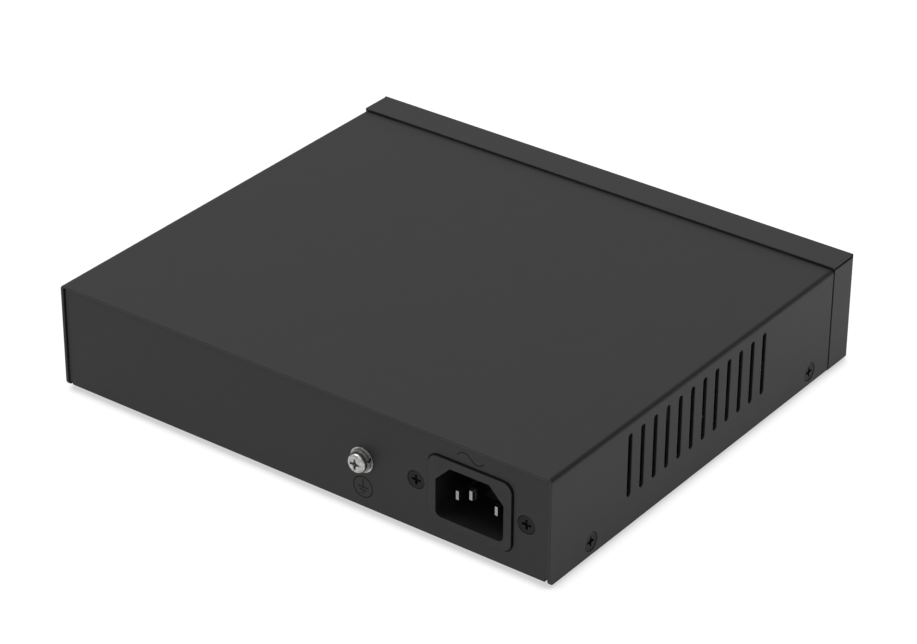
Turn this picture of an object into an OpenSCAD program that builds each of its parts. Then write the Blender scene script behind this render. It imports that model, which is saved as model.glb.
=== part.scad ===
/* [Case] */
// Width across the case
case_w = 186.5; // [184:0.5:240]
// Length of the top cover along its sides
cover_l = 152.7; // [150:0.5:220]
// Height of the cover's side walls
cover_h = 36.2; // [35.5:0.1:48]
// Thickness of the steel sheet of cover and tray
sheet = 0.9; // [0.7:0.1:1.2]
// Outside radius of the cover's bends
bend_r = 1.5; // [1.3:0.1:3]
// Gap between sheets that slide past each other
sheet_fit = 0.1; // [0.05:0.05:0.2]
// Gap between the rear panel's sides and the cover's side walls
panel_gap = 0.35; // [0.2:0.05:0.6]
// Side of the square relief notch at each lower rear corner of the tray
tray_notch = 1.2; // [0.9:0.1:2]
// How far the rear panel stands in from the cover's rear edge
panel_inset = 0.56; // [0.2:0.02:2]
// How far the floor lies above the cover's bottom edges
floor_lift = 0.6; // [0.3:0.1:1.2]
// Height of the tray's side flanges above the underside of its floor
flange_h = 9; // [8:0.5:9.5]
// Depth of the lip bent in along the top of the rear panel
lip_d = 7; // [5:0.5:9]
// Radius of the rounded lower rear corners of the cover's sides
cover_corner_r = 1.8; // [0.5:0.1:3]

/* [Bezel] */
// Depth of the front bezel
bezel_d = 12.4; // [10:0.2:18]
// Thickness of the bezel's sheet
bezel_sheet = 0.8; // [0.6:0.1:1]
// How far the bezel's top stands above the cover
bezel_rise = 0.78; // [0.75:0.01:1.5]
// Gap between the bezel and the cover's front edge
bezel_gap = 0.35; // [0.2:0.05:0.8]
// Open seam between the bezel's top and side flanges
bezel_seam = 0.35; // [0.2:0.05:0.6]
// How far the bezel's side flanges stop short of its top flange, at the cover
bezel_side_short = 0.5; // [0.2:0.1:1]
// Outside radius of the bezel's front bends
bezel_bend_r = 1.2; // [1:0.1:2]
// Height of the tray's front lip, behind the bezel
front_lip_h = 5; // [3:0.5:5.5]
// Length of the cover's tongue under the bezel's top
tongue_l = 6; // [4:0.5:8]

/* [Side slots] */
// Number of slots in each side
slot_count = 12; // [6:1:14]
// Distance between slot centres
slot_pitch = 6.63; // [5:0.05:8]
// Width of a slot
slot_w = 2.2; // [1.5:0.1:3]
// Length of a slot
slot_l = 21.8; // [15:0.2:22]
// Height of a slot's lower end above the cover's bottom edge
slot_z = 10.4; // [10:0.1:11.5]
// Distance from the cover's rear edge to the first slot's centre
slot_start = 39.6; // [30:0.2:50]

/* [Cover screws] */
// Diameter of a countersunk screw head
csk_head_d = 6; // [5.6:0.1:6.4]
// Depth of a countersunk screw head
csk_head_h = 1.45; // [1.3:0.05:1.6]
// Diameter of a countersunk screw's thread
csk_d = 3; // [2.5:0.1:3]
// Length of a countersunk screw
csk_l = 6; // [5:0.5:8]
// How far a countersunk screw's head lies below the surface
csk_sink = 0.2; // [0.1:0.05:0.3]
// Gap round a countersunk screw's head
csk_gap = 0.2; // [0.1:0.05:0.3]
// Height of the cover screws above the cover's bottom edge
cover_screw_z = 4.6; // [4.5:0.1:4.8]
// Distance from the cover's rear edge to the rear cover screws
cover_screw_rear = 20.7; // [15:0.1:30]
// Distance from the rear to the front cover screws
cover_screw_span = 120.8; // [80:0.2:122]

/* [Power inlet] */
// Distance from the case's side to the inlet's centre
inlet_edge = 28.8; // [27.3:0.1:33.3]
// Height of the inlet's centre above the cover's bottom edge
inlet_z = 17.4; // [16.8:0.1:18.5]
// Distance between the inlet's two screws
inlet_pitch = 39.6; // [39.2:0.1:40.4]
// Width of the socket's cavity
socket_w = 24.4; // [24:0.1:25]
// Height of the socket's cavity
socket_h = 17.8; // [17:0.1:18]
// Depth of the socket's cavity
socket_d = 17; // [15:0.5:18]
// Size of the chamfers on the cavity's two upper corners
socket_chamfer = 5.2; // [4:0.1:6]
// Radius of the cavity's two lower corners
socket_r = 2; // [1:0.1:3]
// Width of the wall round the cavity
rim_wall = 2.7; // [2.4:0.1:3.1]
// Radius of the rim's corners
rim_r = 3.2; // [2:0.1:4]
// How far the rim stands out of the rear panel
rim_out = 0.65; // [0.3:0.05:1.2]
// Gap between the rim and the panel's cut-out
rim_gap = 0.45; // [0.2:0.05:0.6]
// Thickness of the flange behind the panel
inlet_flange = 3; // [2.5:0.1:4]
// Thickness of a contact blade
blade_t = 2; // [1.8:0.1:2.2]
// Depth over which a blade's tip tapers
blade_taper = 1.4; // [1:0.1:2]
// Width of a contact blade
blade_w = 4; // [3.6:0.1:4.4]
// Distance between the two live blades
blade_pitch = 14; // [13.5:0.1:14.5]
// Height from the live blades' line to the earth blade
earth_rise = 4.1; // [4.05:0.05:4.4]
// Depth of the live blades' tips in the cavity
live_tip = 3.7; // [3:0.1:5]
// Depth of the earth blade's tip in the cavity
earth_tip = 0.8; // [0.5:0.1:2]

/* [Ground screw] */
// Distance from the inlet's centre to the ground screw
ground_from_inlet = 39.45; // [34.7:0.05:44]
// Height of the ground screw above the cover's bottom edge
ground_z = 17.1; // [14:0.1:20]
// Thread diameter of the ground screw
ground_d = 4; // [3.5:0.5:4]
// Diameter of the ground screw's pan head
ground_head_d = 6.6; // [6.4:0.1:8]
// Height of the ground screw's pan head
ground_head_h = 2.4; // [2.2:0.1:3]
// Length of the ground screw's thread
ground_l = 8; // [7:0.5:10]
// Outside diameter of the flat washer
washer_d = 8.4; // [8.2:0.1:10]
// Thickness of the flat washer
washer_t = 0.6; // [0.5:0.1:1]
// Outside diameter of the split lock washer
lock_washer_d = 7.5; // [6.6:0.1:7.8]
// Thickness of the split lock washer
lock_washer_t = 0.9; // [0.8:0.1:1.1]
// Running clearance on a radius
thread_fit = 0.05; // [0.02:0.01:0.09]

/* [Ports] */
// Number of jacks in the wide gang, where the case has room for them
gang_count = 8; // [4:1:8]
// Number of jacks in the narrow gang
uplink_count = 2; // [1:1:2]
// Distance between jack centres in a gang
jack_pitch = 13.97; // [13.9:0.01:14]
// Width of the mouth of a jack
jack_w = 11.8; // [11.6:0.1:12]
// Height of the wide part of a jack's mouth
jack_h = 6.9; // [6.7:0.1:7.2]
// Height of a jack's housing above the board
jack_body_h = 13.2; // [12.8:0.1:13.6]
// Depth of a jack's housing
jack_body_d = 16; // [15:0.5:18]
// Thickness of the shield's metal
shield_t = 0.3; // [0.2:0.05:0.4]
// How far the shields stand out of the bezel's front
jack_proud = 0.4; // [0.2:0.1:0.8]
// Gap between a shield and its window in the bezel
window_gap = 0.3; // [0.2:0.05:0.4]
// Distance from the case's side to the middle of the narrow gang
uplink_edge = 20.25; // [19:0.25:22]
// Least gap between the groups of jacks and lights
group_gap = 1.5; // [1:0.5:3]

/* [Lights] */
// Number of lights in a row
light_columns = 6; // [4:1:6]
// Distance between lights in a row
light_pitch = 3.6; // [3.3:0.1:3.7]
// Distance between the two rows
light_row = 5; // [4:0.5:6]
// Diameter of a light's lens
light_d = 2; // [1.6:0.1:2.2]
// Distance from the case's side to the middle of the lights
light_edge = 15.25; // [14.25:0.25:17]

/* [Boards] */
// Thickness of the circuit boards
board_t = 1.6; // [1.2:0.2:2]
// Height of the standoffs above the floor
standoff_h = 5; // [4:0.5:6]
// Diameter of the standoffs
standoff_d = 5.5; // [5:0.1:6]
// Width of the power board
power_w = 60; // [56:1:62]
// Length of the power board
power_l = 66; // [64:1:68]
// Length of the main board's front strip
strip_l = 62; // [60:1:64]
// Gap between boards and what stands next to them
board_gap = 4; // [3:0.5:5]

/* [Feet and hanging] */
// Height of a foot below the floor
foot_h = 2.1; // [1.9:0.1:5]
// Diameter of a foot
foot_d = 10; // [8:0.5:14]
// Distance from the case's edges to a foot's centre
foot_inset = 14; // [12:0.5:25]
// Distance between the two hanging holes
keyhole_span = 100; // [60:1:120]
// Distance from the bezel's back to the hanging holes' round ends
keyhole_back = 28; // [24:1:32]
// Diameter of a hanging hole's round end
keyhole_d = 8; // [7:0.5:9]
// Width of a hanging hole's slot
keyhole_slot = 4; // [3.5:0.5:4.5]
// Length of a hanging hole's slot from the round end's centre
keyhole_l = 9; // [8:0.5:12]

/* [Hidden] */
$fn = 48;
// Small overlap that lets one shape cut cleanly through another
cut = 1;

// Heights, from the surface the feet stand on
floor_z = foot_h;
cover_z = floor_z - floor_lift;
floor_top = floor_z + sheet;
cover_top = cover_z + cover_h;
roof_z = cover_top - sheet;
bezel_z = floor_z - bezel_sheet;
bezel_top = cover_top + bezel_rise;
board_z = floor_top + standoff_h;
board_top = board_z + board_t;

// Lengths, front to rear, about the middle of everything
screw_out = washer_t + lock_washer_t + ground_head_h;
total_l = jack_proud + bezel_d + bezel_gap + cover_l - panel_inset + screw_out;
jack_face_y = -total_l / 2;
bezel_y = jack_face_y + jack_proud;
bezel_back_y = bezel_y + bezel_d;
cover_y = bezel_back_y + bezel_gap;
cover_rear_y = cover_y + cover_l;
panel_y = cover_rear_y - panel_inset;
panel_in_y = panel_y - sheet;

// Tray
tray_w = case_w - 2 * (sheet + sheet_fit);
tray_y = bezel_y + bezel_bend_r;
tray_l = panel_y - tray_y;
panel_top = roof_z - sheet_fit;
panel_w = case_w - 2 * (sheet + panel_gap);
tray_in_w = tray_w - 2 * sheet;

// Screws
screw_z = cover_z + cover_screw_z;
cover_screw_y = [cover_rear_y - cover_screw_rear, cover_rear_y - cover_screw_rear - cover_screw_span];
collar_wall = 1.3;
collar_d = csk_d + 2 * collar_wall;
collar_l = 2;
recess_w = 0.8;
recess_l = 0.55;
recess_depth = 0.75;

// Inlet, on the side that is at -X
inlet_cx = inlet_edge - case_w / 2;
inlet_cz = cover_z + inlet_z;
rim_w = socket_w + 2 * rim_wall;
rim_h = socket_h + 2 * rim_wall;
rim_y = panel_y + rim_out;
inlet_ear_r = 3.5;
inlet_ear_drop = 3;
inlet_ear_h = rim_h - 2 * inlet_ear_drop;
inlet_flange_w = inlet_pitch + 2 * (inlet_ear_r + 0.5);
flange_step = 1;
socket_back = 2.5;
inlet_back_y = rim_y - socket_d - socket_back;
blade_tail = 6;
blade_shift = 0.1;
live_z = inlet_cz - earth_rise / 2 + blade_shift;
earth_z = live_z + earth_rise;
inlet_screw_l = 9;
inlet_nut_h = 2.4;
inlet_nut_w = 5.5;
lug_d = 8;
lug_t = 0.8;

// Ground screw, on its axis along Y
ground_cx = inlet_cx + ground_from_inlet;
ground_cz = cover_z + ground_z;
ground_r = ground_d / 2;
nut_l = 3;
nut_wall = 1.8;
nut_step = 1;
nut_d = ground_d + 2 * nut_wall;
head_y = panel_y + washer_t + lock_washer_t;

// Feet and hanging holes
foot_x = case_w / 2 - foot_inset;
foot_front_y = bezel_back_y + foot_inset;
foot_rear_y = panel_y - foot_inset;
keyhole_y = bezel_back_y + keyhole_back;

// Boards
strip_w = tray_in_w - 2 * board_gap;
lip_gap = 0.4;
board_y = tray_y + sheet + lip_gap;
strip_back_y = board_y + strip_l;
arm_w = strip_w - power_w - board_gap;
arm_x = strip_w / 2 - arm_w;
// Room behind the main board for the ground screw's thread
arm_rear_gap = 18;
arm_back_y = panel_in_y - arm_rear_gap;
power_x = -strip_w / 2;
power_y = strip_back_y + board_gap;
power_back_y = power_y + power_l;
hole_inset = 4;
// The front holes stand behind the feet, which leave no room nearer the front
hole_front = foot_front_y + foot_d / 2 + standoff_d - board_y;
board_screw_d = 3;
board_screw_head = 5.5;
board_screw_head_h = 2;
main_holes = [[-strip_w / 2 + hole_inset, strip_back_y - hole_inset],
              [strip_w / 2 - hole_inset, board_y + hole_front],
              [arm_x + hole_inset, arm_back_y - hole_inset],
              [strip_w / 2 - hole_inset, arm_back_y - hole_inset],
              [-strip_w / 2 + hole_inset, board_y + hole_front],
              [arm_x + hole_inset, strip_back_y - hole_inset]];
standoff_foot_d = standoff_d - 1;
power_holes = [[power_x + hole_inset, power_y + hole_inset],
               [power_x + power_w - hole_inset, power_y + hole_inset],
               [power_x + hole_inset, power_back_y - hole_inset],
               [power_x + power_w - hole_inset, power_back_y - hole_inset]];

// Jacks
jack_end = 1;
uplink_w = uplink_count * jack_pitch + 2 * jack_end;
uplink_x = case_w / 2 - uplink_edge;
step_1_w = 6.2;
step_1_h = 1.5;
step_2_w = 4;
step_2_h = 1.3;
mouth_h = jack_h + step_1_h + step_2_h;
mouth_z = board_top + (jack_body_h - mouth_h) / 2;
jack_wide_z = mouth_z + step_1_h + step_2_h;
jack_cavity_d = 13;
contact_n = 8;
contact_pitch = 1.02;
contact_w = 0.4;
contact_drop = 2.5;

// Lights
light_x = light_edge - case_w / 2;
light_z = board_top + 7;
light_nose = 0.3;
holder_d = 8;
holder_wall = 0.7;
holder_w = (light_columns - 1) * light_pitch + light_d + 2 * holder_wall;

// The wide gang stands in the middle of the room between the lights and the narrow gang
gang_from = light_x + holder_w / 2 + group_gap;
gang_to = uplink_x - uplink_w / 2 - group_gap;
gang_n = min(gang_count, floor((gang_to - gang_from - 2 * jack_end) / jack_pitch));
gang_w = gang_n * jack_pitch + 2 * jack_end;
gang_x = (gang_from + gang_to) / 2;

// ---- Shapes that repeat ----

// Extrudes a drawing in X and Z along Y, from y0 for a length l
module along_y(y0, l) {
    translate([0, y0 + l, 0]) rotate([90, 0, 0]) linear_extrude(height = l) children();
}

// Extrudes a drawing in Y and Z along X, from x0 for a length l
module along_x(x0, l) {
    translate([x0, 0, 0]) rotate([90, 0, 90]) linear_extrude(height = l) children();
}

// A plate centred on X, with its lowest corner at y and z
module plate(w, l, h, y, z) {
    translate([-w / 2, y, z]) cube([w, l, h]);
}

// An arch outline: square below, with its two top corners rounded
module arch(w, h, r) {
    translate([-w / 2, 0]) square([w, h - r]);
    translate([-w / 2 + r, 0]) square([w - 2 * r, h]);
    for (side = [-1, 1]) translate([side * (w / 2 - r), h - r]) circle(r);
}

// A rectangle about its centre, with four rounded corners
module rounded(w, h, r) {
    square([w - 2 * r, h], center = true);
    square([w, h - 2 * r], center = true);
    for (x = [-1, 1], y = [-1, 1]) translate([x * (w / 2 - r), y * (h / 2 - r)]) circle(r);
}

// A slot with round ends, its lower end's edge at the origin
module slot(w, l) {
    translate([-w / 2, w / 2]) square([w, l - w]);
    for (y = [w / 2, l - w / 2]) translate([0, y]) circle(w / 2);
}

// The cross recess of a screw whose head's face is at z = 0, facing +Z
module cross_recess(head_d, depth) {
    wing = head_d * recess_l;
    for (a = [0, 90]) rotate([0, 0, a])
        translate([-wing / 2, -recess_w / 2, -depth]) cube([wing, recess_w, depth + cut]);
    translate([0, 0, -depth]) cylinder(h = depth + 0.01, r1 = recess_w / 2, r2 = recess_w * 1.1);
}

// A countersunk screw in a surface at z = 0, facing +Z, with its head a little below the surface
module countersunk_screw(l) {
    translate([0, 0, -csk_sink]) difference() {
        union() {
            translate([0, 0, -csk_head_h]) cylinder(h = csk_head_h, d1 = csk_d, d2 = csk_head_d);
            translate([0, 0, -l]) cylinder(h = l - csk_head_h + 0.01, d = csk_d);
        }
        cross_recess(csk_head_d, recess_depth);
    }
}

// The space that a countersunk screw's head and thread need, below a surface at z = 0
module countersink(l) {
    wide_d = csk_head_d + 2 * csk_gap;
    translate([0, 0, -csk_head_h - csk_sink]) cylinder(h = csk_head_h, d1 = csk_d + 2 * csk_gap, d2 = wide_d);
    translate([0, 0, -csk_sink - 0.001]) cylinder(h = csk_sink + cut, d = wide_d);
    translate([0, 0, -l]) cylinder(h = l, d = csk_d + 2 * thread_fit);
}

// A pan head screw, its head's underside at z = 0 and its thread below
module pan_screw(head_d, head_h, d, l) {
    round_r = head_h * 0.55;
    difference() {
        union() {
            rotate_extrude() {
                square([head_d / 2, head_h - round_r]);
                square([head_d / 2 - round_r, head_h]);
                translate([head_d / 2 - round_r, head_h - round_r]) intersection() {
                    circle(round_r);
                    square(round_r);
                }
            }
            translate([0, 0, -l]) cylinder(h = l + 0.01, d = d);
        }
        translate([0, 0, head_h]) cross_recess(head_d, head_h * 0.6);
    }
}

// Unit vector along v
function unit(v) = v / norm(v);

// Points of a route with each inner corner replaced by a short curve
function eased(points, ease) = [
    points[0],
    for (i = [1 : len(points) - 2]) let (
        a = points[i] + ease * unit(points[i - 1] - points[i]),
        b = points[i] + ease * unit(points[i + 1] - points[i]))
        for (t = [0 : 0.25 : 1]) (1 - t) * (1 - t) * a + 2 * t * (1 - t) * points[i] + t * t * b,
    points[len(points) - 1]];

// Direction of a route at its point i
function heading(points, i) = unit(points[min(i + 1, len(points) - 1)] - points[max(i - 1, 0)]);

// One ring of a wire, square to direction d, about the point p
function wire_ring(p, d, r, up) = let (u = unit(cross(d, up)), v = cross(d, u))
    [for (k = [0 : wire_sides - 1]) let (a = 360 * k / wire_sides) p + r * (cos(a) * u + sin(a) * v)];

// A round wire along a list of points, eased at its corners
module wire(points, r, up) {
    route = eased(points, 2.2 * r);
    last = len(route) - 1;
    n = wire_sides;
    polyhedron(
        points = [for (i = [0 : last]) each wire_ring(route[i], heading(route, i), r, up)],
        faces = [
            [for (k = [0 : n - 1]) k],
            [for (k = [n - 1 : -1 : 0]) last * n + k],
            for (i = [0 : last - 1], k = [0 : n - 1])
                [i * n + k, (i + 1) * n + k, (i + 1) * n + (k + 1) % n, i * n + (k + 1) % n]]);
}

// Places its children at each cover screw, with +Z pointing out of the case
module at_cover_screws(x) {
    for (side = [-1, 1], y = cover_screw_y)
        translate([side * x, y, screw_z]) rotate([0, side * 90, 0]) children();
}

// Places its children at the inlet's screws, with +Z pointing out of the case
module at_inlet_screws(y) {
    for (side = [-1, 1])
        translate([inlet_cx + side * inlet_pitch / 2, y, inlet_cz]) rotate([-90, 0, 0]) children();
}

// Places its children on the ground screw's axis, with +Z pointing out of the case
module at_ground_screw(y) {
    translate([ground_cx, y, ground_cz]) rotate([-90, 0, 0]) children();
}

// Places its children at the board screws, at height z
module at_board_screws(z) {
    for (p = concat(main_holes, power_holes)) translate([p[0], p[1], z]) children();
}

// ---- Case ----

// The holes of one side wall: slots and countersunk screw holes
module side_slots() {
    for (i = [0 : slot_count - 1])
        along_x(-case_w / 2 - cut, case_w + 2 * cut)
            translate([cover_rear_y - slot_start - i * slot_pitch, cover_z + slot_z]) slot(slot_w, slot_l);
}

// A square corner less a quarter circle, to round a side wall's lower rear corner
module corner_cut() {
    along_x(-case_w / 2 - cut, case_w + 2 * cut) difference() {
        translate([cover_rear_y - cover_corner_r, cover_z - cut])
            square([cover_corner_r + cut, cover_corner_r + cut]);
        translate([cover_rear_y - cover_corner_r, cover_z + cover_corner_r]) circle(cover_corner_r);
    }
}

// U-shaped lid: a roof and two side walls, with a tongue that slips under the bezel
module top_cover() {
    color("#404040") union() {
        difference() {
            along_y(cover_y, cover_l) translate([0, cover_z]) difference() {
                arch(case_w, cover_h, bend_r);
                translate([0, -cut]) arch(case_w - 2 * sheet, cover_h - sheet + cut, bend_r - sheet);
            }
            side_slots();
            corner_cut();
            at_cover_screws(case_w / 2) countersink(sheet + cut);
        }
        tongue_top = bezel_top - bezel_sheet - sheet_fit;
        plate(case_w - 2 * foot_inset, tongue_l + bezel_gap, sheet, cover_y - tongue_l,
              min(tongue_top, cover_top - sheet_fit) - sheet);
    }
}

// A hanging hole through the floor, open upwards to the rear
module keyhole(x) {
    translate([x, keyhole_y, floor_z - cut]) {
        cylinder(h = sheet + 2 * cut, d = keyhole_d);
        translate([-keyhole_slot / 2, 0, 0]) cube([keyhole_slot, keyhole_l, sheet + 2 * cut]);
        translate([0, keyhole_l, 0]) cylinder(h = sheet + 2 * cut, d = keyhole_slot);
    }
}

// The rear panel's cut-out for the inlet's rim and the holes of its two screws
module inlet_cutout() {
    along_y(panel_in_y - cut, sheet + 2 * cut) translate([inlet_cx, inlet_cz])
        rounded(rim_w + 2 * rim_gap, rim_h + 2 * rim_gap, rim_r + rim_gap);
    at_inlet_screws(panel_y) countersink(sheet + cut);
}

// Chassis: floor, rear panel with its top lip, side flanges with tapped collars and a front lip
module base_tray() {
    color("#3e3e3e") difference() {
        union() {
            plate(tray_w, tray_l, sheet, tray_y, floor_z);
            along_y(panel_in_y, sheet) translate([0, floor_z]) arch(panel_w, panel_top - floor_z, bend_r);
            plate(panel_w - 2 * bend_r, lip_d, sheet, panel_y - lip_d, panel_top - sheet);
            plate(tray_w, sheet, front_lip_h, tray_y, floor_z);
            for (side = [-1, 1]) translate([side * (tray_w - sheet) / 2 - sheet / 2, tray_y, floor_z])
                cube([sheet, tray_l, flange_h]);
            at_cover_screws(tray_w / 2 - sheet - collar_l) cylinder(h = collar_l + sheet / 2, d = collar_d);
        }
        at_cover_screws(case_w / 2) countersink(csk_l + 2 * cut);
        inlet_cutout();
        at_ground_screw(panel_in_y - cut) cylinder(h = sheet + 2 * cut, d = nut_d + 2 * thread_fit);
        for (side = [-1, 1]) keyhole(side * keyhole_span / 2);
        at_board_screws(floor_z - cut) cylinder(h = sheet + 2 * cut, d = standoff_foot_d + 2 * thread_fit);
        for (side = [-1, 1]) translate([side * tray_w / 2 - tray_notch, panel_y - tray_notch, floor_z - cut])
            cube([2 * tray_notch, tray_notch + cut, tray_notch + cut]);
    }
}

// Front face with its windows, and flanges folded back on all four sides
module front_bezel() {
    h = bezel_top - bezel_z;
    color("#444444") intersection() {
        bezel_plan(h);
        bezel_folds(h);
    }
}

// Plan of the bezel, extruded: its two front corners are rounded
module bezel_plan(h) {
    translate([0, bezel_back_y, bezel_z - cut]) rotate([0, 0, 180])
        linear_extrude(height = h + 2 * cut) arch(case_w, bezel_d, bezel_bend_r);
}

// The folded sheet with square front corners
module bezel_folds(h) {
    difference() {
        union() {
            // Face with rounded front edges along top and bottom
            along_x(-case_w / 2, case_w) difference() {
                translate([bezel_y, bezel_z]) front_profile(bezel_d, h, bezel_bend_r);
                translate([bezel_y + bezel_sheet, bezel_z + bezel_sheet])
                    front_profile(bezel_d, h - 2 * bezel_sheet, bezel_bend_r - bezel_sheet);
            }
            // Side flanges, short of the top flange by the open seam
            for (side = [-1, 1]) translate([side * (case_w - bezel_sheet) / 2 - bezel_sheet / 2, 0, 0])
                along_x(0, bezel_sheet) translate([bezel_y, bezel_z])
                    front_profile(bezel_d - bezel_side_short, h - bezel_sheet - bezel_seam, bezel_bend_r);
        }
        // The top flange's ends stand in a little from the side flanges
        for (side = [-1, 1]) translate([side * case_w / 2 - bezel_seam, bezel_y + bezel_bend_r,
                                        bezel_top - bezel_sheet - bezel_seam])
            cube([2 * bezel_seam, bezel_d, bezel_sheet + bezel_seam + cut]);
        bezel_windows();
    }
}

// Side view of the bezel: square at the rear, its two front corners rounded
module front_profile(l, h, r) {
    translate([r, 0]) square([l - r, h]);
    translate([0, r]) square([l, h - 2 * r]);
    for (z = [r, h - r]) translate([r, z]) circle(r);
}

// Windows for the jacks and holes for the lights
module bezel_windows() {
    for (g = [[gang_x, gang_w], [uplink_x, uplink_w]])
        translate([g[0] - g[1] / 2 - window_gap, bezel_y - cut, board_top - window_gap])
            cube([g[1] + 2 * window_gap, bezel_sheet + 2 * cut, jack_body_h + 2 * window_gap]);
    at_lights(bezel_y - cut) cylinder(h = bezel_sheet + 2 * cut, d = light_d + 2 * thread_fit);
}

// Places its children at each light, with +Z pointing into the case
module at_lights(y) {
    for (i = [0 : light_columns - 1], row = [-1, 1])
        translate([light_x + (i - (light_columns - 1) / 2) * light_pitch, y, light_z + row * light_row / 2])
            rotate([-90, 0, 0]) children();
}

module cover_screws() {
    color("#1c1c1c") at_cover_screws(case_w / 2) countersunk_screw(csk_l);
}

// Stick-on feet with a rounded lower edge
module rubber_feet() {
    edge = 0.6;
    color("#1a1a1a") for (x = [-foot_x, foot_x], y = [foot_front_y, foot_rear_y])
        translate([x, y, 0]) rotate_extrude() {
            square([foot_d / 2 - edge, foot_h]);
            translate([0, edge]) square([foot_d / 2, foot_h - edge]);
            translate([foot_d / 2 - edge, edge]) circle(edge);
        }
}

// ---- Power inlet ----

// The socket's mouth: two chamfered upper corners and two rounded lower ones
module socket_outline() {
    w = socket_w / 2;
    h = socket_h / 2;
    polygon([[-w, -h + socket_r], [-w, h - socket_chamfer], [-w + socket_chamfer, h],
             [w - socket_chamfer, h], [w, h - socket_chamfer], [w, -h + socket_r],
             [w - socket_r, -h], [-w + socket_r, -h]]);
    for (side = [-1, 1]) translate([side * (w - socket_r), -h + socket_r]) circle(socket_r);
}

// Moulded inlet: rim through the panel, flange behind it and a deep socket
module inlet_body() {
    tail_y = inlet_back_y;
    color("#202020") difference() {
        union() {
            along_y(tail_y, rim_y - tail_y) translate([inlet_cx, inlet_cz]) rounded(rim_w, rim_h, rim_r);
            along_y(panel_in_y - inlet_flange, inlet_flange) translate([inlet_cx, inlet_cz]) {
                rounded(inlet_flange_w, inlet_ear_h, inlet_ear_r);
                rounded(rim_w + 2 * flange_step, rim_h + 2 * flange_step, rim_r);
            }
        }
        along_y(rim_y - socket_d, socket_d + cut) translate([inlet_cx, inlet_cz]) socket_outline();
        at_inlet_screws(panel_y) countersink(inlet_screw_l);
        for (side = [-1, 1]) blade(side * blade_pitch / 2, live_z, 0, 2 * thread_fit);
        blade(0, earth_z, 0, 2 * thread_fit);
    }
}

// A contact blade, from its tip in the socket to its tail behind the body
module blade(x, z, tip, grow) {
    t = blade_t + grow;
    w = blade_w + grow;
    translate([inlet_cx + x - t / 2, inlet_back_y - blade_tail, z - w / 2])
        cube([t, rim_y - tip - inlet_back_y + blade_tail, w]);
}

// A blade with its tip tapered on all four sides
module tipped_blade(x, z, tip) {
    tip_y = rim_y - tip;
    half_angle = atan(blade_t / 4 / blade_taper);
    difference() {
        blade(x, z, tip, 0);
        for (side = [-1, 1]) {
            translate([inlet_cx + x + side * blade_t / 4, tip_y, z - blade_w])
                rotate([0, 0, side * half_angle]) translate([side < 0 ? -blade_t : 0, -2 * blade_taper, 0])
                    cube([blade_t, 3 * blade_taper, 2 * blade_w]);
            translate([inlet_cx + x - blade_t, tip_y, z + side * (blade_w / 2 - blade_t / 4)])
                rotate([-side * half_angle, 0, 0]) translate([0, -2 * blade_taper, side < 0 ? -blade_t : 0])
                    cube([2 * blade_t, 3 * blade_taper, blade_t]);
        }
    }
}

module inlet_live_blades() {
    color("#c9c6bd") for (side = [-1, 1]) tipped_blade(side * blade_pitch / 2, live_z, live_tip);
}

module inlet_earth_blade() {
    color("#c9c6bd") tipped_blade(0, earth_z, earth_tip);
}

module inlet_screws() {
    color("#1c1c1c") at_inlet_screws(panel_y) countersunk_screw(inlet_screw_l);
}

// Nuts behind the flange; the one nearer the case's middle also holds the earth lug
module inlet_nuts() {
    color("#b9b9b4") for (side = [-1, 1])
        translate([inlet_cx + side * inlet_pitch / 2, nut_y(side), inlet_cz]) rotate([-90, 0, 0])
            difference() {
                cylinder(h = inlet_nut_h, d = inlet_nut_w / cos(30), $fn = 6);
                translate([0, 0, -cut]) cylinder(h = inlet_nut_h + 2 * cut, d = csk_d + 2 * thread_fit);
            }
}

function nut_y(side) = panel_in_y - inlet_flange - inlet_nut_h - (side > 0 ? lug_t : 0);

// ---- Ground screw ----

module ground_screw() {
    color("#c8c8c4") at_ground_screw(head_y)
        pan_screw(ground_head_d, ground_head_h, ground_d, ground_l);
}

// A ring of spring steel, cut through on a slant
module ground_lock_washer() {
    split_w = 0.7;
    color("#bdbdb8") at_ground_screw(panel_y + washer_t) difference() {
        cylinder(h = lock_washer_t, d = lock_washer_d);
        translate([0, 0, -cut]) cylinder(h = lock_washer_t + 2 * cut, d = ground_d + 4 * thread_fit);
        rotate([0, 0, 200]) translate([lock_washer_d / 4 + ground_r / 2, 0, lock_washer_t / 2])
            rotate([30, 0, 0]) cube([lock_washer_d / 2, split_w, 4 * lock_washer_t], center = true);
    }
}

module ground_flat_washer() {
    color("#c4c4bf") at_ground_screw(panel_y) difference() {
        cylinder(h = washer_t, d = washer_d);
        translate([0, 0, -cut]) cylinder(h = washer_t + 2 * cut, d = ground_d + 4 * thread_fit);
    }
}

// A clinch nut pressed into the rear panel from inside
module ground_nut() {
    color("#b5b5af") at_ground_screw(panel_in_y) difference() {
        union() {
            translate([0, 0, -nut_l]) cylinder(h = nut_l, d = nut_d + 2 * nut_step);
            cylinder(h = sheet, d = nut_d);
        }
        translate([0, 0, -nut_l - cut]) cylinder(h = nut_l + sheet + 2 * cut, r = ground_r + thread_fit);
    }
}

// ---- Boards ----

// Front strip across the case, and an arm that runs back beside the power board
module main_board() {
    color("#1f5a34") difference() {
        translate([0, 0, board_z]) linear_extrude(height = board_t) union() {
            translate([-strip_w / 2, board_y]) square([strip_w, strip_l]);
            translate([arm_x, board_y]) square([arm_w, arm_back_y - board_y]);
        }
        for (p = main_holes) translate([p[0], p[1], board_z - cut])
            cylinder(h = board_t + 2 * cut, d = board_screw_d + 2 * sheet_fit);
    }
}

module power_board() {
    color("#b08a4a") difference() {
        translate([power_x, power_y, board_z]) cube([power_w, power_l, board_t]);
        for (p = power_holes) translate([p[0], p[1], board_z - cut])
            cylinder(h = board_t + 2 * cut, d = board_screw_d + 2 * sheet_fit);
    }
}

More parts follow.
